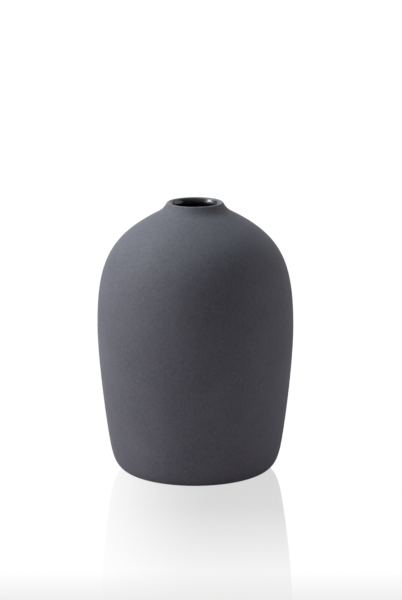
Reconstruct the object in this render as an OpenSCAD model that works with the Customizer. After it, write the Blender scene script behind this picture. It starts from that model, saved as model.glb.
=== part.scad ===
// Stoneware bottle vase: a tapered body, a round shoulder and a small collar with a rounded lip.
// Millimetres, +Z up. The origin is the centre of the face that the vase stands on.
//
// It is built as a closed form is thrown: a bowl and a shoulder dome are thrown apart and luted rim to
// rim at the belly, a collar is luted to the dome, and a foot ring is luted under the bowl. The glaze
// is poured in last, through the collar. It lines the whole inside, so that the pot holds water.

/* [Outside] */
// Height from the table to the top of the lip
height = 200; // [165:1:245]
// Diameter at the belly, the widest place
belly_d = 143.6; // [136:0.2:175]
// Height of the belly, where the bowl and the dome are luted together
belly_z = 108; // [85:1:135]
// Diameter at the top of the rounded heel, where the straight wall starts
heel_d = 124.6; // [104:0.2:140]
// Height of the top of the rounded heel
heel_z = 16.5; // [13:0.5:22]
// Slope of the wall where it leaves the heel, in degrees from level
heel_slope = 77; // [65:1:89]

/* [Collar and lip] */
// Height of the collar, from its joint with the dome to the top of the lip
collar_h = 8.4; // [6.5:0.1:10]
// Diameter at the root of the collar
collar_root_d = 57.2; // [50:0.2:68]
// Slope of the shoulder where it meets the collar, in degrees from level
shoulder_slope = 28; // [15:1:40]
// Diameter of the crest of the lip, its highest ring
crest_d = 39; // [37:0.2:44]
// Radius that the crest is rounded to
crest_round = 1.3; // [0.8:0.1:1.8]
// Slope of the collar's outside where it meets the crest, in degrees from level
lip_slope = 60; // [45:1:80]
// Slope of the mouth's inside where it leaves the crest, in degrees from level
mouth_slope = 55; // [45:1:75]
// Diameter of the clear way through the glazed throat
throat_d = 33; // [27:0.2:34]
// Depth of the top of the straight throat under the top of the lip
throat_depth = 4.2; // [3.6:0.1:4.6]
// Length of the straight part of the throat
throat_l = 2; // [1:0.1:3]
// How far the glaze climbs onto the crest, in degrees of its round
glaze_climb = 20; // [10:1:60]

/* [Walls] */
// Thickness of the stoneware wall
wall_t = 4.8; // [4:0.1:6]
// Thickness of the stoneware floor
floor_t = 6; // [5:0.1:8]
// Thickness of the glaze inside
glaze_t = 0.4; // [0.3:0.01:0.5]

/* [Foot] */
// Outside diameter of the ring that touches the table
foot_d = 91; // [75:1:108]
// Width of the ring that touches the table
foot_w = 5; // [4:0.1:8]
// Height of the foot ring, which is also the depth of the hollow under the floor
foot_h = 2.5; // [1.5:0.1:3.5]
// How far the inside of the foot ring slopes outwards, from its top down to the table
foot_slope_w = 1.2; // [0.5:0.1:2]

/* [Luted joints] */
// Depth of the V groove in each lower rim, and of the tongue that sits in it
key_h = 1.4; // [0.5:0.1:2]

/* [Curves] */
// How long the rounded heel keeps its level start and its steep end, as shares of its chord
heel_pull = [0.51, 0.38]; // [0.2:0.01:0.6]
// The same for the wall from the heel to the belly
side_pull = [0.13, 0.29]; // [0.1:0.01:0.6]
// The same for the dome from the belly to the collar
dome_pull = [0.51, 0.41]; // [0.2:0.01:0.6]
// The same for the hollow curve of the collar, from its root to the crest of the lip
collar_pull = [0.45, 0.4]; // [0.1:0.01:0.6]
// The same for the inside of the mouth, from the straight throat up to the crest
mouth_pull = [0.3, 0.45]; // [0.1:0.01:0.6]
// The same for the round corner inside, between the floor and the wall
well_pull = [0.5, 0.4]; // [0.2:0.01:0.6]
// The same for the inside of the collar, from the dome to the straight throat
gullet_pull = [0.55, 0.15]; // [0.1:0.01:0.6]

/* [Hidden] */

clay_colour = "#55565E";
glaze_colour = "#14151A";

$fn = 96;
heel_steps = 14;
side_steps = 14;
dome_steps = 28;
collar_steps = 12;
crest_steps = 10;
climb_steps = 4;
mouth_steps = 8;
well_steps = 12;
gullet_steps = 10;

throat_clay_r = throat_d / 2 + glaze_t;
throat_top_z = height - throat_depth;
throat_z = throat_top_z - throat_l;
floor_top = foot_h + floor_t;
foot_r = foot_d / 2;

// A station is a point of an outline, as [radius, height], and the direction into the wall there.
// The headings are in degrees, 0 straight outwards and 90 straight up.
function along(heading) = [cos(heading), sin(heading)];
function into_wall(heading) = [-sin(heading), cos(heading)];

function bezier(p, t) =
    pow(1 - t, 3) * p[0] + 3 * t * pow(1 - t, 2) * p[1] + 3 * t * t * (1 - t) * p[2] + pow(t, 3) * p[3];
function bezier_heading(p, t) =
    let (d = pow(1 - t, 2) * (p[1] - p[0]) + 2 * t * (1 - t) * (p[2] - p[1]) + t * t * (p[3] - p[2]))
    atan2(d[1], d[0]);

// Stations of a smooth curve that leaves one point at one heading and reaches another at another.
function curve(from, from_heading, to, to_heading, pull, steps) =
    let (chord = norm(to - from),
         p = [from, from + pull[0] * chord * along(from_heading),
              to - pull[1] * chord * along(to_heading), to])
    [for (i = [0:steps]) [bezier(p, i / steps), into_wall(bezier_heading(p, i / steps))]];

// Points round a centre. The radius grows steadily by as much as is asked.
function arc(centre, radius, from, to, steps, growth = 0) =
    [for (i = [0:steps]) centre + (radius + growth * i / steps) * along(from + (to - from) * i / steps)];

// The outline that lies a given depth inside some stations, and the stations themselves at that depth.
function points(stations, depth = 0) = [for (s = stations) s[0] + depth * s[1]];
function deepened(stations, depth) = [for (s = stations) [s[0] + depth * s[1], s[1]]];
function after_first(list) = [for (i = [1:len(list) - 1]) list[i]];
function between_ends(list) = [for (i = [1:len(list) - 2]) list[i]];
function last(list) = list[len(list) - 1];
function reversed(list) = [for (i = [len(list) - 1:-1:0]) list[i]];

// A rising outline in two, below and above a height. Both parts hold the point at the cut.
function crossing(pts, z) =
    let (i = [for (k = [0:len(pts) - 2]) if (pts[k][1] <= z && pts[k + 1][1] > z) k][0])
    pts[i] + (pts[i + 1] - pts[i]) * (z - pts[i][1]) / (pts[i + 1][1] - pts[i][1]);
function below(pts, z) = concat([for (p = pts) if (p[1] < z) p], [crossing(pts, z)]);
function above(pts, z) = concat([crossing(pts, z)], [for (p = pts) if (p[1] > z) p]);

// The meeting faces of a luted joint, from the outside in: a V that the upper piece's tongue fills.
function luted(station, heading) =
    [station[0],
     station[0] + wall_t / 2 * station[1] - key_h * along(heading),
     station[0] + wall_t * station[1]];

// The crest of the lip, round from the collar's outside over to the inside of the mouth. Its headings
// turn from the one that the collar arrives at to the one that the mouth leaves at.
crest_centre = [crest_d / 2, height - crest_round];
crest_out = 90 - lip_slope;
crest_in = 90 + mouth_slope;
climb_from = crest_in - glaze_climb;
crest_bare = arc(crest_centre, crest_round, crest_out, climb_from, crest_steps);
crest_under_glaze = arc(crest_centre, crest_round, climb_from, crest_in, climb_steps);

// Outside, from the table to the crest of the lip.
collar_heading = 180 - shoulder_slope;
heel_top = [heel_d / 2, heel_z];
belly = [belly_d / 2, belly_z];
collar_root = [collar_root_d / 2, height - collar_h];
heel = curve([foot_r, 0], 0, heel_top, heel_slope, heel_pull, heel_steps);
side = curve(heel_top, heel_slope, belly, 90, side_pull, side_steps);
dome = curve(belly, 90, collar_root, collar_heading, dome_pull, dome_steps);
collar = curve(collar_root, collar_heading, crest_bare[0], 180 - lip_slope, collar_pull, collar_steps);

// Inside of the stoneware, which is also the outside of the glaze.
side_in = deepened(side, wall_t);
dome_in = deepened(dome, wall_t);
well = curve([foot_r - foot_w / 2, floor_top], 0, side_in[0][0], heel_slope, well_pull, well_steps);
gullet = curve(last(dome_in)[0], collar_heading, [throat_clay_r, throat_z], 90, gullet_pull,
               gullet_steps);
mouth = curve([throat_clay_r, throat_top_z], 90, last(crest_under_glaze), mouth_slope, mouth_pull,
              mouth_steps);
inside = concat(well, after_first(side_in), after_first(dome_in), after_first(gullet), mouth);
// The glaze feathers out to nothing as it climbs.
crest_glaze = arc(crest_centre, crest_round, climb_from, crest_in, climb_steps, glaze_t);

belly_joint = luted(last(side), 90);
collar_joint = luted(last(dome), collar_heading);

module turned(outline) {
    rotate_extrude() polygon(outline);
}

// The ring that the vase stands on, with a sloping inside face.
module foot_ring() {
    inner_r = foot_r - foot_w;
    color(clay_colour)
        turned(concat([[inner_r, 0]], below(points(heel), foot_h), [[inner_r - foot_slope_w, foot_h]]));
}

// Floor, heel and tapered wall up to the belly, with the V groove in its rim.
module lower_bowl() {
    color(clay_colour)
        turned(concat([[0, foot_h]], above(points(heel), foot_h), after_first(points(side)),
                      after_first(belly_joint), after_first(reversed(points(side_in))),
                      after_first(reversed(points(well))), [[0, floor_top]]));
}

// The shoulder: its rim has the tongue for the bowl's groove, and its top the groove for the collar's.
module shoulder_dome() {
    color(clay_colour)
        turned(concat(points(dome), after_first(collar_joint), after_first(reversed(points(dome_in))),
                      [belly_joint[1]]));
}

// The hollow curve up from the shoulder, the rounded lip, the flared mouth and the straight throat.
module neck_collar() {
    color(clay_colour)
        turned(concat(points(collar), after_first(crest_bare), after_first(crest_under_glaze),
                      after_first(reversed(points(mouth))), reversed(points(gullet)),
                      [collar_joint[1]]));
}

// The poured lining, from the floor up through the mouth to the crest, where it feathers out.
module interior_glaze() {
    color(glaze_colour)
        turned(concat([[0, floor_top]], points(inside), after_first(reversed(crest_under_glaze)),
                      between_ends(crest_glaze), reversed(points(inside, glaze_t)),
                      [[0, floor_top + glaze_t]]));
}

foot_ring();
lower_bowl();
shoulder_dome();
neck_collar();
interior_glaze();
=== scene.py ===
# %% [markdown]
# # A stoneware bottle vase
#
# The vase is a wheel-thrown pot: a bowl and a dome thrown apart and luted rim to rim at the belly, a small
# collar luted on top, and a ring luted on below as a foot. The outside is bare, matt, slate-grey clay, and
# a dark gloss glaze lines the inside. A round pot is a profile carried round an axis, so every piece here
# is a turned surface worked out with numpy. The places and the driving sizes come from the CAD model. Its
# solids stand for the clay in the physics, and the finer surfaces made here stand for them in the picture.

# %% Load the frame
import math

import bpy
import numpy as np
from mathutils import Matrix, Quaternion, Vector


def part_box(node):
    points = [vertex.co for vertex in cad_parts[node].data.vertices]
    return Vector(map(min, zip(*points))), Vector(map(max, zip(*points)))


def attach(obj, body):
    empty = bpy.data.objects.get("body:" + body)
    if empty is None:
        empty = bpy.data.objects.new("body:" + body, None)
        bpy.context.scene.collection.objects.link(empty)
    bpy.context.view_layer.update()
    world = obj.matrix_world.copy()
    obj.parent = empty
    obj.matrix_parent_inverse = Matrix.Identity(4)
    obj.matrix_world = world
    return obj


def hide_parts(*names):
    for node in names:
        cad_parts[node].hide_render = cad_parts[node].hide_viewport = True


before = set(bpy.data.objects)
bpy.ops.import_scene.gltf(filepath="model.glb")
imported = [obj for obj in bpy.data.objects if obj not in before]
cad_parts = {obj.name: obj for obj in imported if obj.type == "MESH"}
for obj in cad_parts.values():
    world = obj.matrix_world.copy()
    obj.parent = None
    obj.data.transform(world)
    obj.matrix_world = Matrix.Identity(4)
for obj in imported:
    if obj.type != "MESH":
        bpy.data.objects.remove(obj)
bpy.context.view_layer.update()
print("nodes:", ", ".join(sorted(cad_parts)))

# %% [markdown]
# ## The camera
#
# The vase is seen from about ten times its own height away, from a little above, so its sides are nearly
# free of perspective and its mouth shows as a thin ellipse. A long lens gives that. The aim is a few
# millimetres beside the axis, and the camera leans by a fraction of a degree, as a tripod head does.

# %% Camera
MM = 0.001
CAMERA_AWAY, CAMERA_UP = 2000, 577.9      # mm from the axis, and above the table
AIM_SIDE, AIM_UP = 4.1, 127.1             # mm
LENS, SENSOR = 168.2, 36                  # mm
LEAN = math.radians(-0.216)

place = Vector((0, -CAMERA_AWAY, CAMERA_UP)) * MM
aim = Vector((AIM_SIDE, 0, AIM_UP)) * MM
camera = bpy.data.objects.new("camera", bpy.data.cameras.new("camera"))
camera.data.lens = LENS
camera.data.sensor_width = SENSOR
camera.location = place
camera.rotation_mode = "QUATERNION"
camera.rotation_quaternion = (aim - place).to_track_quat("-Z", "Y") @ Quaternion((0, 0, 1), LEAN)
bpy.context.scene.collection.objects.link(camera)
bpy.context.scene.camera = camera
print("the camera looks down by %.1f degrees" % math.degrees(math.atan2(CAMERA_UP - AIM_UP, CAMERA_AWAY)))

# %% [markdown]
# ## Sizes
#
# The driving sizes come from the CAD nodes' boxes: how far each piece of clay reaches out and up. What a
# box can't tell, such as a wall's thickness or the slope of the shoulder, is named here in millimetres
# and degrees, as a potter would measure it with callipers.

# %% Sizes


def reach(node):
    """How far a node goes out from the axis, and its lowest and highest level, in mm."""
    low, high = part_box(node)
    return high.x / MM, low.z / MM, high.z / MM


_, _, FOOT_H = reach("foot_ring")
BELLY_R, _, BELLY_Z = reach("lower_bowl")
_, _, ROOT_Z = reach("shoulder_dome")
ROOT_R, _, HEIGHT = reach("neck_collar")
_, FLOOR_Z, _ = reach("interior_glaze")

FOOT_R, FOOT_W, FOOT_SLOPE_W = 45.5, 5, 1.2
HEEL_R, HEEL_Z, HEEL_SLOPE = 62.3, 16.5, 77
SHOULDER_SLOPE, LIP_SLOPE, MOUTH_SLOPE = 28, 60, 55
CREST_R, CREST_ROUND = 19.5, 1.3
THROAT_R, THROAT_DEPTH, THROAT_L = 16.5, 4.2, 2
WALL, GLAZE, KEY = 4.8, 0.4, 1.4

THROAT_CLAY_R = THROAT_R + GLAZE
THROAT_TOP = HEIGHT - THROAT_DEPTH
CREST_MIDDLE = np.array([CREST_R, HEIGHT - CREST_ROUND])
CREST_OUT, CREST_IN = 90 - LIP_SLOPE, 90 + MOUTH_SLOPE
COLLAR_HEADING = 180 - SHOULDER_SLOPE
print("height %.1f, belly %.1f across at %.1f up, floor %.1f up" % (HEIGHT, 2 * BELLY_R, BELLY_Z, FLOOR_Z))

# %% [markdown]
# ## The outline
#
# A thrown profile is a few long curves that flow into each other. Each is drawn here as one Bezier bend
# that leaves a point at one heading and reaches the next at another, which is also how the CAD model draws
# it, with the same pulls at the two ends. A bend gives two things at each row: the point, and the direction
# into the wall, so the inside of the wall and the glaze are the same bend at a greater depth.

# %% Bends


def towards(heading):
    """The unit direction of a heading in degrees: 0 points straight outwards and 90 straight up."""
    return np.array([math.cos(math.radians(heading)), math.sin(math.radians(heading))])


def bend(start, leaves, end, arrives, pull, rows):
    """A cubic Bezier curve. With t from 0 to 1 it is (1-t)^3 A + 3t(1-t)^2 B + 3t^2(1-t) C + t^3 D, where
    A and D are the ends, and B and C lie along the end headings at a share, pull, of the chord.
    Returns the points, and the unit normals on the left of the way along, which point into the clay."""
    a, d = np.array(start, float), np.array(end, float)
    chord = np.linalg.norm(d - a)
    b, c = a + pull[0] * chord * towards(leaves), d - pull[1] * chord * towards(arrives)
    t = np.linspace(0, 1, rows + 1)[:, None]
    points = (1 - t) ** 3 * a + 3 * t * (1 - t) ** 2 * b + 3 * t * t * (1 - t) * c + t ** 3 * d
    way = (1 - t) ** 2 * (b - a) + 2 * t * (1 - t) * (c - b) + t * t * (d - c)
    way /= np.linalg.norm(way, axis=1)[:, None]
    return points, np.column_stack([-way[:, 1], way[:, 0]])


def under(points, depth):
    """The curve that lies a depth in mm under a bend."""
    return points[0] + depth * points[1]


def round_of_crest(start, end, rows, growth=0.0):
    """Points on the round of the lip's crest from one angle to another, 0 outwards and 90 straight up. The
    radius grows steadily by as much as is asked."""
    angle = np.radians(np.linspace(start, end, rows + 1))
    radius = CREST_ROUND + np.linspace(0, growth, rows + 1)
    return CREST_MIDDLE + radius[:, None] * np.column_stack([np.cos(angle), np.sin(angle)])


heel = bend((FOOT_R, 0), 0, (HEEL_R, HEEL_Z), HEEL_SLOPE, (0.51, 0.38), 44)
side = bend((HEEL_R, HEEL_Z), HEEL_SLOPE, (BELLY_R, BELLY_Z), 90, (0.13, 0.29), 72)
dome = bend((BELLY_R, BELLY_Z), 90, (ROOT_R, ROOT_Z), COLLAR_HEADING, (0.51, 0.41), 84)
collar = bend((ROOT_R, ROOT_Z), COLLAR_HEADING, round_of_crest(CREST_OUT, CREST_IN, 1)[0], 180 - LIP_SLOPE,
              (0.45, 0.4), 32)
well = bend((FOOT_R - FOOT_W / 2, FLOOR_Z), 0, under(side, WALL)[0], HEEL_SLOPE, (0.5, 0.4), 24)
gullet = bend(under(dome, WALL)[-1], COLLAR_HEADING, (THROAT_CLAY_R, THROAT_TOP - THROAT_L), 90,
              (0.55, 0.15), 14)
mouth = bend((THROAT_CLAY_R, THROAT_TOP), 90, round_of_crest(CREST_OUT, CREST_IN, 1)[1], MOUTH_SLOPE,
             (0.3, 0.45), 16)
print("outside: %d rows from the table to the lip" % sum(len(b[0]) for b in (heel, side, dome, collar)))

# %% [markdown]
# ## The potter's hand
#
# No thrown pot is perfectly true. The wall wanders by a few hundredths of a millimetre as it goes round,
# and the fingers leave a shallow spiral as they climb: nearly smoothed away outside with a rib, and left
# plain inside. Both are functions of the angle and the height, so two sections that meet at a luted joint
# move together and stay closed.

# %% Wobble and finger spirals
WANDER = ((2, 0.05, 41, 0), (3, 0.03, -33, 1), (5, 0.02, 17, 2))
LIFT, LIFT_INSIDE = 6.3, 8.5      # mm that the fingers climb in one turn
RIBBED, GROOVE = 0.014, 0.22      # mm of the finger marks, after the rib outside and as left inside


def wandering(turn, height):
    """How far the wall stands out, in mm: a sum of slow waves. Each has its number of waves round the pot,
    its mm outwards, the mm of climb that turn its phase by one radian, and its phase at the table."""
    return sum(out * np.cos(waves * turn + height / climb + phase) for waves, out, climb, phase in WANDER)


def spiral(turn, height, lift):
    """A wave that climbs by one lift in each turn; slow sines of the height make the lift uneven."""
    along = height / lift - turn / (2 * np.pi) + 0.5 * np.sin(height / 23) + 0.3 * np.sin(height / 9.1)
    return np.sin(2 * np.pi * along)


def fading(place, low, rise, high, fall):
    """A share that grows from 0 to 1 over the rise past a low mark, and shrinks back to 0 over the fall
    before a high one, all in mm."""
    return np.clip((place - low) / rise, 0, 1) * np.clip((high - place) / fall, 0, 1)


def outside_shape(turn, height):
    """The wall's wander and the ribbed-down spiral, dying out towards the foot and the lip."""
    marks = wandering(turn, height) + RIBBED * spiral(turn, height, LIFT)
    return fading(height, FOOT_H, 14, HEIGHT - 2, 12) * marks


def inside_shape(turn, height):
    """The same wander, with the spiral left deep, from the corner of the floor up to the neck."""
    marks = wandering(turn, height) + GROOVE * spiral(turn, height, LIFT_INSIDE)
    return fading(height, FLOOR_Z, 12, ROOT_Z - 6, 20) * marks


print("the wall wanders by up to %.2f mm" % sum(out for _, out, _, _ in WANDER))

# %% [markdown]
# ## Turning an outline into a mesh
#
# Blender's Screw modifier could turn a profile too, but a grid of numbers gives every vertex its angle and
# its height, which the wobble and the glaze's edge need. An outline is a closed loop of stretches. Each
# stretch says how much it follows the outside's shape and how much the inside's, and it starts at a sharp
# corner, so that the shading breaks there and nowhere else.

# %% Turned meshes
ROUND = 216           # columns round the pot: at the belly one is 2.1 mm wide


def stretch(points, outside=0.0, inside=0.0, corner=False):
    """Rows for one part of an outline, without its last point, which starts the next: r, z, the shares of
    the outside's and the inside's shape, and whether a sharp corner starts here. A share is one number for
    the whole stretch, or one for each point."""
    points = np.asarray(points, float)
    rows = np.zeros((len(points), 5))
    rows[:, :2] = points
    rows[:, 2] = outside
    rows[:, 3] = inside
    rows[0, 4] = corner
    return rows[:-1]


def line(start, end, rows=1):
    """Evenly spaced points from start to end, both included."""
    return np.linspace(start, end, rows + 1)


def turned_grid(rows, turn):
    """Radius and height of every row of an outline at every angle. The radius is the outline's own, plus
    the outside's and the inside's shape by the row's shares."""
    r, z, outside, inside = (np.repeat(rows[:, k:k + 1], ROUND, axis=1) for k in range(4))
    return r + outside * outside_shape(turn, z) + inside * inside_shape(turn, z), z


def turned(name, stretches, relief=None):
    """A closed surface of revolution. The grid's two parameters are the row of the outline and the angle:
    x = r cos(angle), y = r sin(angle), z = z. A relief may move the grid's r and z. The rows on the axis
    become one vertex each, so the quads that touch them become triangles."""
    rows = np.vstack(stretches)
    count = len(rows)
    turn = np.linspace(0, 2 * np.pi, ROUND, endpoint=False)[None, :]
    r, z = turned_grid(rows, turn)
    if relief is not None:
        r, z = relief(turn, r, z)
    places = np.stack([r * np.cos(turn), r * np.sin(turn), z], axis=-1).reshape(-1, 3) * MM

    on_axis = rows[:, 0] < 1e-6
    ids = np.arange(count * ROUND).reshape(count, ROUND)
    ids[on_axis] = ids[on_axis][:, :1]
    used, number = np.unique(ids, return_inverse=True)
    number = number.reshape(count, ROUND)
    here = np.arange(count)
    there = np.roll(here, -1)
    band = ~(on_axis[here] & on_axis[there])
    here, there = here[band], there[band]
    ahead = np.roll(number, -1, axis=1)
    quads = np.stack([number[here], ahead[here], ahead[there], number[there]], axis=-1).reshape(-1, 4)
    leaves_axis = quads[:, 0] == quads[:, 1]
    meets_axis = quads[:, 2] == quads[:, 3]
    faces = (quads[~leaves_axis & ~meets_axis].tolist() + quads[leaves_axis][:, [0, 2, 3]].tolist()
             + quads[meets_axis][:, [0, 1, 2]].tolist())

    mesh = bpy.data.meshes.new(name)
    mesh.from_pydata(places[used].tolist(), [], faces)
    mesh.shade_smooth()
    ends = np.zeros(len(mesh.edges) * 2, np.int32)
    mesh.edges.foreach_get("vertices", ends)
    end_rows = (used // ROUND)[ends.reshape(-1, 2)]
    sharp = (end_rows[:, 0] == end_rows[:, 1]) & (rows[end_rows[:, 0], 4] > 0)
    mesh.attributes.new("sharp_edge", "BOOLEAN", "EDGE").data.foreach_set("value", sharp)
    piece = bpy.data.objects.new(name, mesh)
    bpy.context.scene.collection.objects.link(piece)
    print("%s: %d vertices, %d faces" % (name, len(used), len(faces)))
    return piece


def stands_for(piece, node):
    """The piece rides on the one body and replaces its CAD node, which is hidden."""
    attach(piece, "root")
    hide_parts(node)


def split(points, level):
    """A rising curve in two, below and above a level; both parts hold the point at the cut, which lies on
    the straight line between its neighbours."""
    at = int(np.argmax(points[:, 1] > level))
    share = (level - points[at - 1, 1]) / (points[at, 1] - points[at - 1, 1])
    cut = points[at - 1] + share * (points[at] - points[at - 1])
    return np.vstack([points[:at], cut]), np.vstack([cut, points[at:]])


def luted(points, heading):
    """The meeting face of a luted joint at the end of a bend, from the outside in: a V, whose middle lies
    a key's depth back along the heading. Returns the outer edge, the middle and the inner edge."""
    outer, inner = under(points, 0)[-1], under(points, WALL)[-1]
    return outer, (outer + inner) / 2 - KEY * towards(heading), inner


def meeting_face(start, key, end, inwards):
    """The two stretches of a luted joint's V. On the way in they go over evenly, in four steps, from the
    outside's shape to the inside's, and on the way out back again."""
    outside = np.linspace(1, 0, 5) if inwards else np.linspace(0, 1, 5)
    return [stretch(line(start, key, 2), outside[:3], 1 - outside[:3], corner=True),
            stretch(line(key, end, 2), outside[2:], 1 - outside[2:], corner=True)]


heel_below, heel_above = split(heel[0], FOOT_H)
belly_outer, belly_key, belly_inner = luted(side, 90)
root_outer, root_key, root_inner = luted(dome, COLLAR_HEADING)

# %% [markdown]
# ## The foot ring
#
# The pot stands on a narrow ring. A potter turns it when the clay is leather-hard, slopes its inside so
# that it lifts off the wheel cleanly, and rubs its edges round so that it doesn't scratch a table. A
# Bevel modifier would round both edges alike. Here only the inner one is sharp on the outline, so it is
# rounded as part of the profile.

# %% Foot ring
RUBBED = 0.5          # mm radius that the standing edge is rubbed to

ring_inner = FOOT_R - FOOT_W
ring_top = ring_inner - FOOT_SLOPE_W
slope = math.degrees(math.atan2(FOOT_H, -FOOT_SLOPE_W))
rubbed_from = np.array([ring_inner, 0]) + RUBBED * towards(slope)
rubbed_edge, _ = bend(rubbed_from, slope - 180, (ring_inner + RUBBED, 0), 0, (0.5, 0.5), 6)
foot_ring = turned("turned_foot_ring", [
    stretch(line((ring_top, FOOT_H), rubbed_from, 4), corner=True),
    stretch(rubbed_edge),
    stretch(line((ring_inner + RUBBED, 0), (FOOT_R, 0), 4)),
    stretch(heel_below),
    stretch(line(heel_below[-1], (ring_top, FOOT_H), 4), corner=True),
])
stands_for(foot_ring, "foot_ring")

# %% [markdown]
# ## The bowl
#
# The bowl is the floor, the rounded heel and the tapered wall up to the belly. Its rim carries a V groove
# for the dome. Under the floor the turning tool leaves a shallow spiral, a little over 2 mm from one
# groove to the next. It is real relief here and not a bump, so that it also shows in the bare mesh.

# %% Bowl
TOOL_LIFT, TOOL_DEPTH = 2.4, 0.07     # mm
TOOL_ROWS = 100


def turning_spiral(turn, r, z):
    """Lifts the floor's underside by a depth times (1 + cos of 2 pi times the grooves crossed from the
    axis), where a groove moves out by one lift in each turn. It fades out at the axis and at the ring."""
    underside = (z < FOOT_H + 1e-6) & (r < ring_top)
    groove = 1 + np.cos(2 * np.pi * (r / TOOL_LIFT - turn / (2 * np.pi)))
    return r, z + underside * fading(r, 0, 6, ring_top, 3) * TOOL_DEPTH * groove


bowl_in = under(side, WALL)
bowl = turned("thrown_bowl", [
    stretch(line((0, FOOT_H), (ring_top, FOOT_H), TOOL_ROWS)),
    stretch(line((ring_top, FOOT_H), heel_above[0], 6)),
    stretch(heel_above, outside=1, corner=True),
    stretch(side[0], outside=1),
    *meeting_face(belly_outer, belly_key, belly_inner, inwards=True),
    stretch(bowl_in[::-1], inside=1, corner=True),
    stretch(well[0][::-1], inside=1),
    stretch(line(well[0][0], (0, FLOOR_Z), 8), inside=1),
    np.array([[0, FLOOR_Z, 0, 0, 0]]),
], turning_spiral)
stands_for(bowl, "lower_bowl")

# %% [markdown]
# ## The dome
#
# The dome is thrown upside down, turned over, and luted onto the bowl while both rims are leather-hard:
# its tongue fills the bowl's groove, and slip glues them. The outside is ribbed over until the seam is
# gone, so here both meshes have the same points along the seam and no edge shows.

# %% Dome
dome_in = under(dome, WALL)
shoulder = turned("thrown_dome", [
    *meeting_face(belly_inner, belly_key, belly_outer, inwards=False),
    stretch(dome[0], outside=1, corner=True),
    *meeting_face(root_outer, root_key, root_inner, inwards=True),
    stretch(dome_in[::-1], inside=1, corner=True),
])
stands_for(shoulder, "shoulder_dome")

# %% [markdown]
# ## The collar
#
# The collar is luted on top in the same way. It closes in from the shoulder by a hollow curve to a narrow
# rounded crest. From there the mouth slopes down to a straight throat, which lets stems in easily and
# holds them upright.

# %% Collar
CREST_ROWS = 24       # the crest catches a thin line of light, so it is turned finely

neck = turned("thrown_collar", [
    *meeting_face(root_inner, root_key, root_outer, inwards=False),
    stretch(collar[0], outside=1, corner=True),
    stretch(round_of_crest(CREST_OUT, CREST_IN, CREST_ROWS)),
    stretch(mouth[0][::-1]),
    stretch(line((THROAT_CLAY_R, THROAT_TOP), (THROAT_CLAY_R, THROAT_TOP - THROAT_L), 3)),
    stretch(gullet[0][::-1], inside=1),
])
stands_for(neck, "neck_collar")

# %% [markdown]
# ## The liner glaze
#
# Glaze is poured in, swilled round and tipped out, then melts to a glass in the kiln. It runs down a
# little, so it feathers out where it ends on the crest of the lip, and it pools in the corner of the
# floor. Solidify could thicken a copy of the inner wall evenly, but the free surface is a curve of its own
# here, so it can feather and pool. The side that lies on the clay is never seen, so it takes every second
# row. The edge wanders by about a tenth of a millimetre round the mouth, as that of a poured glaze does.

# %% Liner glaze
CLIMB, CLIMB_WANDER = 20, 6                                 # degrees round the crest
EDGE_WAVES = ((2, 0.5, 0.7), (5, 0.3, 2), (11, 0.2, 4))     # waves round the mouth, share and phase
CLIMB_ROWS = 10
POOL = 0.7                                                  # mm more glaze in the corner of the floor


def glaze_over(points, more=0.0):
    """The free surface of the glaze on a bend of clay: its thickness, plus any pooling, into the pot."""
    return points[0] + (GLAZE + np.reshape(more, (-1, 1))) * points[1]


def wandering_edge(turn, r, z):
    """Swings the glaze on the crest about the middle of its round. The angle is a sum of waves round the
    mouth; it is full at the feathered edge and nothing where the mouth begins."""
    out, up = r - CREST_MIDDLE[0], z - CREST_MIDDLE[1]
    angle = np.degrees(np.arctan2(up, out))
    share = np.clip((CREST_IN - angle) / CLIMB, 0, 1) * (up > 0)
    swing = sum(part * np.cos(waves * turn + phase) for waves, part, phase in EDGE_WAVES)
    swung = np.radians(angle + CLIMB_WANDER * swing * share)
    away = np.hypot(out, up)
    return CREST_MIDDLE[0] + away * np.cos(swung), CREST_MIDDLE[1] + away * np.sin(swung)


wall_in = (under(side, WALL), side[1])
dome_wall_in = (under(dome, WALL), dome[1])
pooled = POOL * np.sin(np.linspace(0, np.pi, len(well[0]))) ** 2
floor_glaze = FLOOR_Z + GLAZE
climb_from = CREST_IN - CLIMB
glaze = turned("liner_glaze", [
    stretch(line((0, FLOOR_Z), well[0][0], 8), inside=1),
    stretch(well[0], inside=1),
    stretch(wall_in[0][::2], inside=1),
    stretch(dome_wall_in[0][::2], inside=1),
    stretch(gullet[0], inside=1),
    stretch(line(gullet[0][-1], mouth[0][0], 3)),
    stretch(mouth[0]),
    stretch(round_of_crest(CREST_IN, climb_from, CLIMB_ROWS)),
    stretch(round_of_crest(climb_from, CREST_IN, CLIMB_ROWS, GLAZE), corner=True),
    stretch(glaze_over(mouth)[::-1]),
    stretch(line(glaze_over(mouth)[0], glaze_over(gullet)[-1], 3)),
    stretch(glaze_over(gullet)[::-1], inside=1),
    stretch(glaze_over(dome_wall_in)[::-1], inside=1),
    stretch(glaze_over(wall_in)[::-1], inside=1),
    stretch(glaze_over(well, pooled)[::-1], inside=1),
    stretch(line(glaze_over(well)[0], (0, floor_glaze), 8), inside=1),
    np.array([[0, floor_glaze, 0, 0, 0]]),
], wandering_edge)
stands_for(glaze, "interior_glaze")

# %% [markdown]
# ## Materials: how they are built
#
# Three finishes cover the whole pot: bare stoneware, stoneware rubbed smooth on the foot, and the liner
# glaze. Each pattern is a procedural texture on Object coordinates, which are metres here, so a pattern
# keeps its real size on every piece and runs on over the luted seams. A noise texture's scale is how many
# blobs fit in a metre, so it is worked out from the size of one blob in millimetres.

# %% Helpers for materials
TONE_A, TONE_B, TONE_OUT = 6, 7, 2    # a Mix node's two colours and their result, by socket number


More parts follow.
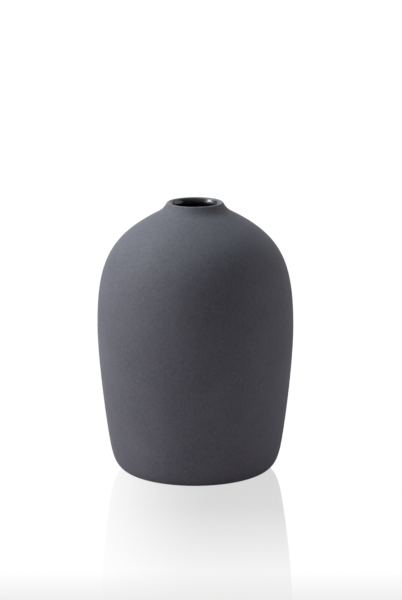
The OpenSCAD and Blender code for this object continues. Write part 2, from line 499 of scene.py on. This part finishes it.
def from_hex(code):
    """An sRGB hex colour as the linear RGBA that Blender's sockets take."""
    srgb = np.array([int(code[k:k + 2], 16) for k in (1, 3, 5)]) / 255
    linear = np.where(srgb <= 0.04045, srgb / 12.92, ((srgb + 0.055) / 1.055) ** 2.4)
    return (*linear.tolist(), 1.0)


def add(tree, kind, inputs=(), **settings):
    """Adds a node of a kind, sets its properties, and fills its sockets: a value is set on the socket, and
    another node's output is linked to it."""
    made = tree.nodes.new(kind)
    for name, value in settings.items():
        setattr(made, name, value)
    for name, value in dict(inputs).items():
        if isinstance(value, bpy.types.NodeSocket):
            tree.links.new(value, made.inputs[name])
        else:
            made.inputs[name].default_value = value
    return made


def blobs(millimetres):
    """The scale of a noise texture whose blobs are that wide."""
    return 1 / (millimetres * MM)


def by_height(tree, places, low, high, start=0.0, end=1.0):
    """A value that changes evenly with the height, from one level in mm to another."""
    level = add(tree, "ShaderNodeSeparateXYZ", {"Vector": places})
    return add(tree, "ShaderNodeMapRange", {"Value": level.outputs["Z"], "From Min": low * MM,
                                            "From Max": high * MM, "To Min": start, "To Max": end})


def new_material(name):
    """An empty node material, its tree, its Principled shader and the Object coordinates."""
    material = bpy.data.materials.new(name)
    material.use_nodes = True
    tree = material.node_tree
    tree.nodes.clear()
    shader = add(tree, "ShaderNodeBsdfPrincipled")
    add(tree, "ShaderNodeOutputMaterial", {"Surface": shader.outputs["BSDF"]})
    return material, tree, shader, add(tree, "ShaderNodeTexCoord").outputs["Object"]


# %% [markdown]
# ## Bare stoneware
#
# The body is a dark, through-coloured stoneware, fired to about 1220 degrees and left unglazed. It is
# vitrified but not glossy: iron and manganese in the clay make it slate grey, slightly blue, and every
# grain breaks the surface, so it scatters light and shows no clear reflection. Light and dark grains give
# it a fine mottle. Its colour also drifts by a few percent in clouds some centimetres wide, where the
# kiln's flame and the drying clay differed. The crest of the lip is wiped with a damp chamois leather
# while the pot still turns. That presses the grains in, so it is smoother and catches a thin line of light.

# %% Bare stoneware
CLAY_LIGHT, CLAY_DARK = "#5F6069", "#4C4D54"
CLOUD, FLAME, GRAIN, GRIT = 22, 70, 1.3, 2.6     # mm; real grains are 0.1 to 0.3 mm, too fine to show
FLAME_SHARE, GRIT_SHARE, FINE_SHARE = 0.5, 0.3, 0.6
CLAY_IOR, CLAY_ROUGHNESS, UNEVEN, WIPED_ROUGHNESS = 1.5, 0.78, 0.06, 0.5
WIPED_FROM, WIPED_FULL = HEIGHT - 0.5, HEIGHT - 0.1
TONE_LOW, TONE_HIGH = 0.36, 0.64      # mixed noises keep near their middle, so this part is spread out


def stoneware_material(name, light, dark, roughness, grain_depth):
    """Clouds and grains mix a light and a dark tone, the grain stands out as a fine bump, and the surface
    is smoother where the crest is wiped."""
    material, tree, shader, places = new_material(name)
    cloud = add(tree, "ShaderNodeTexNoise", {"Vector": places, "Scale": blobs(CLOUD), "Detail": 3.0,
                                             "Roughness": 0.55})
    flame = add(tree, "ShaderNodeTexNoise", {"Vector": places, "Scale": blobs(FLAME), "Detail": 1.0})
    grain = add(tree, "ShaderNodeTexNoise", {"Vector": places, "Scale": blobs(GRAIN), "Detail": 2.0,
                                             "Roughness": 0.6})
    grit = add(tree, "ShaderNodeTexNoise", {"Vector": places, "Scale": blobs(GRIT), "Detail": 2.0})
    drift = add(tree, "ShaderNodeMix", {"Factor": FLAME_SHARE, "A": cloud.outputs["Fac"],
                                        "B": flame.outputs["Fac"]})
    fine = add(tree, "ShaderNodeMix", {"Factor": GRIT_SHARE, "A": grain.outputs["Fac"],
                                       "B": grit.outputs["Fac"]})
    tone = add(tree, "ShaderNodeMix", {"Factor": FINE_SHARE, "A": drift.outputs["Result"],
                                       "B": fine.outputs["Result"]})
    spread = add(tree, "ShaderNodeMapRange", {"Value": tone.outputs["Result"], "From Min": TONE_LOW,
                                              "From Max": TONE_HIGH})
    colour = add(tree, "ShaderNodeMix", {"Factor": spread.outputs["Result"], TONE_A: from_hex(dark),
                                         TONE_B: from_hex(light)}, data_type="RGBA")
    uneven = add(tree, "ShaderNodeMapRange", {"Value": fine.outputs["Result"], "To Min": roughness - UNEVEN,
                                              "To Max": roughness + UNEVEN})
    wiped = by_height(tree, places, WIPED_FROM, WIPED_FULL)
    smoothed = add(tree, "ShaderNodeMix", {"Factor": wiped.outputs["Result"], "A": uneven.outputs["Result"],
                                           "B": WIPED_ROUGHNESS})
    bump = add(tree, "ShaderNodeBump", {"Height": fine.outputs["Result"], "Strength": 1.0,
                                        "Distance": grain_depth * MM})
    tree.links.new(colour.outputs[TONE_OUT], shader.inputs["Base Color"])
    tree.links.new(smoothed.outputs["Result"], shader.inputs["Roughness"])
    tree.links.new(bump.outputs["Normal"], shader.inputs["Normal"])
    shader.inputs["IOR"].default_value = CLAY_IOR
    return material


GRAIN_DEPTH = 0.05    # mm
stoneware = stoneware_material("stoneware bare vitrified", CLAY_LIGHT, CLAY_DARK, CLAY_ROUGHNESS,
                               GRAIN_DEPTH)
for piece in (bowl, shoulder, neck):
    piece.data.materials.append(stoneware)
print("bare stoneware: grains %.1f mm across and %.2f mm deep" % (GRAIN, GRAIN_DEPTH))

# %% [markdown]
# ## The rubbed foot
#
# After the firing the foot is rubbed with a wet silicon carbide stone, so that it stands softly on a table.
# That takes the tops off the grains: the same clay, a touch darker and smoother.

# %% Rubbed foot
RUBBED_LIGHT, RUBBED_DARK = "#515259", "#494A51"
RUBBED_ROUGHNESS, RUBBED_DEPTH = 0.66, 0.02

foot_finish = stoneware_material("stoneware rubbed smooth", RUBBED_LIGHT, RUBBED_DARK, RUBBED_ROUGHNESS,
                                 RUBBED_DEPTH)
foot_ring.data.materials.append(foot_finish)

# %% [markdown]
# ## The liner glaze
#
# The inside has a near-black glaze, a smooth glass coloured by iron and cobalt. What one sees of it is
# mostly what it reflects: the soft boxes as small bright streaks, and the rest of the pot's inside as
# black. It has a soft gloss, with the faint orange-peel ripple that all poured glaze keeps. Its colour
# turns paler over the top few millimetres of the mouth: partly the clay under the glaze where it thins out
# over the flare, and partly painted light, lightest at the crest and fading to painted shade deeper in the
# throat. On the crest it dries to satin.

# %% Liner glaze finish
# The third tone is the pale one at the top of the mouth: partly thin glaze over the clay, partly painted
# light.
GLAZE_THICK, GLAZE_CLOUD, GLAZE_THIN_AND_LIT = "#0C0D11", "#131419", "#46474E"
CLOUD_IN_GLAZE = 12                                   # mm
RIPPLE, RIPPLE_DEPTH = 5, 0.04                        # mm
THIN_AND_LIT_FROM, THINNEST_AND_MOST_LIT = HEIGHT - 3.8, HEIGHT - 0.2
DRIES_FROM, DRIEST = HEIGHT - 1.2, HEIGHT - 0.3
GLAZE_IOR, GLOSS_ROUGHNESS, SATIN_ROUGHNESS = 1.52, 0.2, 0.5

glaze_material, tree, shader, places = new_material("liner glaze gloss black")
clouds = add(tree, "ShaderNodeTexNoise", {"Vector": places, "Scale": blobs(CLOUD_IN_GLAZE), "Detail": 2.0})
body = add(tree, "ShaderNodeMix", {"Factor": clouds.outputs["Fac"], TONE_A: from_hex(GLAZE_THICK),
                                   TONE_B: from_hex(GLAZE_CLOUD)}, data_type="RGBA")
# Painted light: from 3.8 mm below the crest upwards the glaze is mixed towards the pale tone, partly for
# thin glaze and partly as light on the top of the throat, with painted shade deeper in.
thin_and_lit = by_height(tree, places, THIN_AND_LIT_FROM, THINNEST_AND_MOST_LIT)
glaze_tone_and_painted_light = add(tree, "ShaderNodeMix", {"Factor": thin_and_lit.outputs["Result"], TONE_A: body.outputs[TONE_OUT],
                                     TONE_B: from_hex(GLAZE_THIN_AND_LIT)}, data_type="RGBA")
ripple = add(tree, "ShaderNodeTexNoise", {"Vector": places, "Scale": blobs(RIPPLE), "Detail": 1.0})
peel = add(tree, "ShaderNodeBump", {"Height": ripple.outputs["Fac"], "Strength": 1.0,
                                    "Distance": RIPPLE_DEPTH * MM})
dry = by_height(tree, places, DRIES_FROM, DRIEST, GLOSS_ROUGHNESS, SATIN_ROUGHNESS)
tree.links.new(glaze_tone_and_painted_light.outputs[TONE_OUT], shader.inputs["Base Color"])
tree.links.new(peel.outputs["Normal"], shader.inputs["Normal"])
tree.links.new(dry.outputs["Result"], shader.inputs["Roughness"])
shader.inputs["IOR"].default_value = GLAZE_IOR
glaze.data.materials.append(glaze_material)
print("liner glaze: thins out over the top %.1f mm" % (HEIGHT - THIN_AND_LIT_FROM))

# %% [markdown]
# ## The table
#
# The pot stands on a white acrylic sheet that runs out past the edge of the view. The sheet is lit from
# below, so it is plain white and takes no shadow, and its polish mirrors the pot by Fresnel's law, most at
# a grazing angle. Two things about it are a choice for the look and not physics. The mirror image fades
# out to the left and towards the front, and at the back it is stronger than the law gives, 1.43 times.
# And the sheet that the camera sees is brighter than the one that lights the pot, which throws back less
# light and a slightly warm one. Seen from below it is clear, so that the foot can be looked at.

# %% Table
TABLE_HALF, TABLE_BACK = 3000, 1500       # mm to each side and to the front, and to the back
SHEET_GLOW, SHEET_IOR, SHEET_ROUGHNESS = 1.0, 1.49, 0.03
FADE_FROM, FADE_TO, FADED_GLOW = -245, -330, 0.8    # mm along Y, where the glow falls off to the front
POLISH_LEFT, POLISH_RIGHT = -95, 15                 # mm along X, from no mirror image to the full one
POLISH_FRONT, POLISH_BACK = -320, -100              # mm along Y, and the share of Fresnel's law at each
SHARE_FRONT, SHARE_BACK = 0.07, 1.43
SCATTER_COLOUR = (0.53, 0.48, 0.5, 1)               # the share of the light on it that it throws back
SPILL_COLOUR, SPILL_STRENGTH = "#FFF4F7", 0.115     # what reaches the pot from the lamps below

half, back = TABLE_HALF * MM, TABLE_BACK * MM
sheet = bpy.data.meshes.new("table")
corners = [(-half, -half, 0), (half, -half, 0), (half, back, 0), (-half, back, 0)]
sheet.from_pydata(corners, [], [(0, 1, 2, 3)])
table = bpy.data.objects.new("table", sheet)
bpy.context.scene.collection.objects.link(table)

acrylic = bpy.data.materials.new("acrylic white lit polished")
acrylic.use_nodes = True
tree = acrylic.node_tree
tree.nodes.clear()
along = add(tree, "ShaderNodeSeparateXYZ", {"Vector": add(tree, "ShaderNodeTexCoord").outputs["Object"]})
glow = add(tree, "ShaderNodeMapRange", {"Value": along.outputs["Y"], "From Min": FADE_TO * MM,
                                        "From Max": FADE_FROM * MM, "To Min": FADED_GLOW,
                                        "To Max": SHEET_GLOW})
lit = add(tree, "ShaderNodeEmission", {"Strength": glow.outputs["Result"]})
mirror = add(tree, "ShaderNodeBsdfGlossy", {"Roughness": SHEET_ROUGHNESS})
grazing = add(tree, "ShaderNodeFresnel", {"IOR": SHEET_IOR})
across = add(tree, "ShaderNodeMapRange", {"Value": along.outputs["X"], "From Min": POLISH_LEFT * MM,
                                          "From Max": POLISH_RIGHT * MM}, interpolation_type="SMOOTHSTEP")
forward = add(tree, "ShaderNodeMapRange", {"Value": along.outputs["Y"], "From Min": POLISH_FRONT * MM,
                                           "From Max": POLISH_BACK * MM, "To Min": SHARE_FRONT,
                                           "To Max": SHARE_BACK})
polish = add(tree, "ShaderNodeMath", {0: across.outputs["Result"], 1: forward.outputs["Result"]},
             operation="MULTIPLY")
share = add(tree, "ShaderNodeMath", {0: polish.outputs["Value"], 1: grazing.outputs["Fac"]},
            operation="MULTIPLY")
polished = add(tree, "ShaderNodeMixShader", {0: share.outputs["Value"], 1: lit.outputs["Emission"],
                                             2: mirror.outputs["BSDF"]})
scatter = add(tree, "ShaderNodeBsdfDiffuse", {"Color": SCATTER_COLOUR})
spill = add(tree, "ShaderNodeEmission", {"Color": from_hex(SPILL_COLOUR), "Strength": SPILL_STRENGTH})
thrown = add(tree, "ShaderNodeAddShader", {0: scatter.outputs["BSDF"], 1: spill.outputs["Emission"]})
watched = add(tree, "ShaderNodeLightPath").outputs["Is Camera Ray"]
above = add(tree, "ShaderNodeMixShader", {0: watched, 1: thrown.outputs["Shader"],
                                          2: polished.outputs["Shader"]})
from_below = add(tree, "ShaderNodeNewGeometry").outputs["Backfacing"]
clear = add(tree, "ShaderNodeBsdfTransparent")
seen = add(tree, "ShaderNodeMixShader", {0: from_below, 1: above.outputs["Shader"],
                                         2: clear.outputs["BSDF"]})
add(tree, "ShaderNodeOutputMaterial", {"Surface": seen.outputs["Shader"]})
table.data.materials.append(acrylic)
print("table %.0f mm wide" % (2 * TABLE_HALF))

# %% [markdown]
# ## The light
#
# The studio is plain: a wide soft box at the left gives the long shading across the body, and its hot
# middle is the streak in the glaze. A strong box stands high at the left, a little behind, and lights the
# shoulder, with a weak one above and behind to help it. A broad box at the right lifts that edge, and the
# white backdrop rims both sides. Only the table and a very dim surround light the front. Each box is given
# its azimuth and elevation in degrees, its distance, width and height in metres, its radiance, and its
# colour if it isn't plain white.

# %% Soft boxes and backdrop
MIDDLE = Vector((0, 0, HEIGHT / 2)) * MM
SKY_SEEN, SKY_DIM = 1.1, 0.02         # the surround's strength as the camera sees it and as a light
PLAIN_WHITE = (1, 1, 1, 1)


def soft_box(name, azimuth, elevation, away, width, height, radiance, colour="#FFFFFF"):
    """An area light aimed at the pot. Azimuth 0 is the camera's side and 90 the right; lengths in metres.
    A box that sends the same radiance L out everywhere has the power pi * L * width * height."""
    turn, up = math.radians(azimuth), math.radians(elevation)
    out = Vector((math.sin(turn) * math.cos(up), -math.cos(turn) * math.cos(up), math.sin(up)))
    lamp = bpy.data.lights.new(name, "AREA")
    lamp.shape = "RECTANGLE"
    lamp.size, lamp.size_y = width, height
    lamp.energy = math.pi * radiance * width * height
    lamp.color = from_hex(colour)[:3]
    box = bpy.data.objects.new(name, lamp)
    box.location = MIDDLE + out * away
    box.rotation_mode = "QUATERNION"
    box.rotation_quaternion = out.to_track_quat("Z", "Y")
    box.visible_camera = False
    bpy.context.scene.collection.objects.link(box)


soft_box("hot_middle", -83, 36, 1.5, 0.5, 0.36, 16.5)
soft_box("left_box", -82, 17, 1.5, 1.5, 1.4, 1.65)
soft_box("high_left_box", -110, 60, 1.6, 1.0, 1.0, 7.4, "#F0F6FF")
soft_box("right_box", 97, 16, 1.6, 1.5, 1.3, 1.35)
soft_box("box_above_and_behind", -168, 64, 1.6, 0.9, 0.9, 0.8, "#F4F6FF")
soft_box("backdrop", 180, 18, 1.9, 3.2, 1.6, 1.3)

studio = bpy.data.worlds.new("studio")
studio.use_nodes = True
tree = studio.node_tree
tree.nodes.clear()
watched = add(tree, "ShaderNodeLightPath").outputs["Is Camera Ray"]
white = add(tree, "ShaderNodeBackground", {"Color": PLAIN_WHITE, "Strength": SKY_SEEN})
dim = add(tree, "ShaderNodeBackground", {"Color": PLAIN_WHITE, "Strength": SKY_DIM})
air = add(tree, "ShaderNodeMixShader", {0: watched, 1: dim.outputs["Background"],
                                        2: white.outputs["Background"]})
add(tree, "ShaderNodeOutputWorld", {"Surface": air.outputs["Shader"]})
bpy.context.scene.world = studio
bpy.context.scene.view_settings.view_transform = "Standard"
print("%d soft boxes" % len(bpy.data.lights))
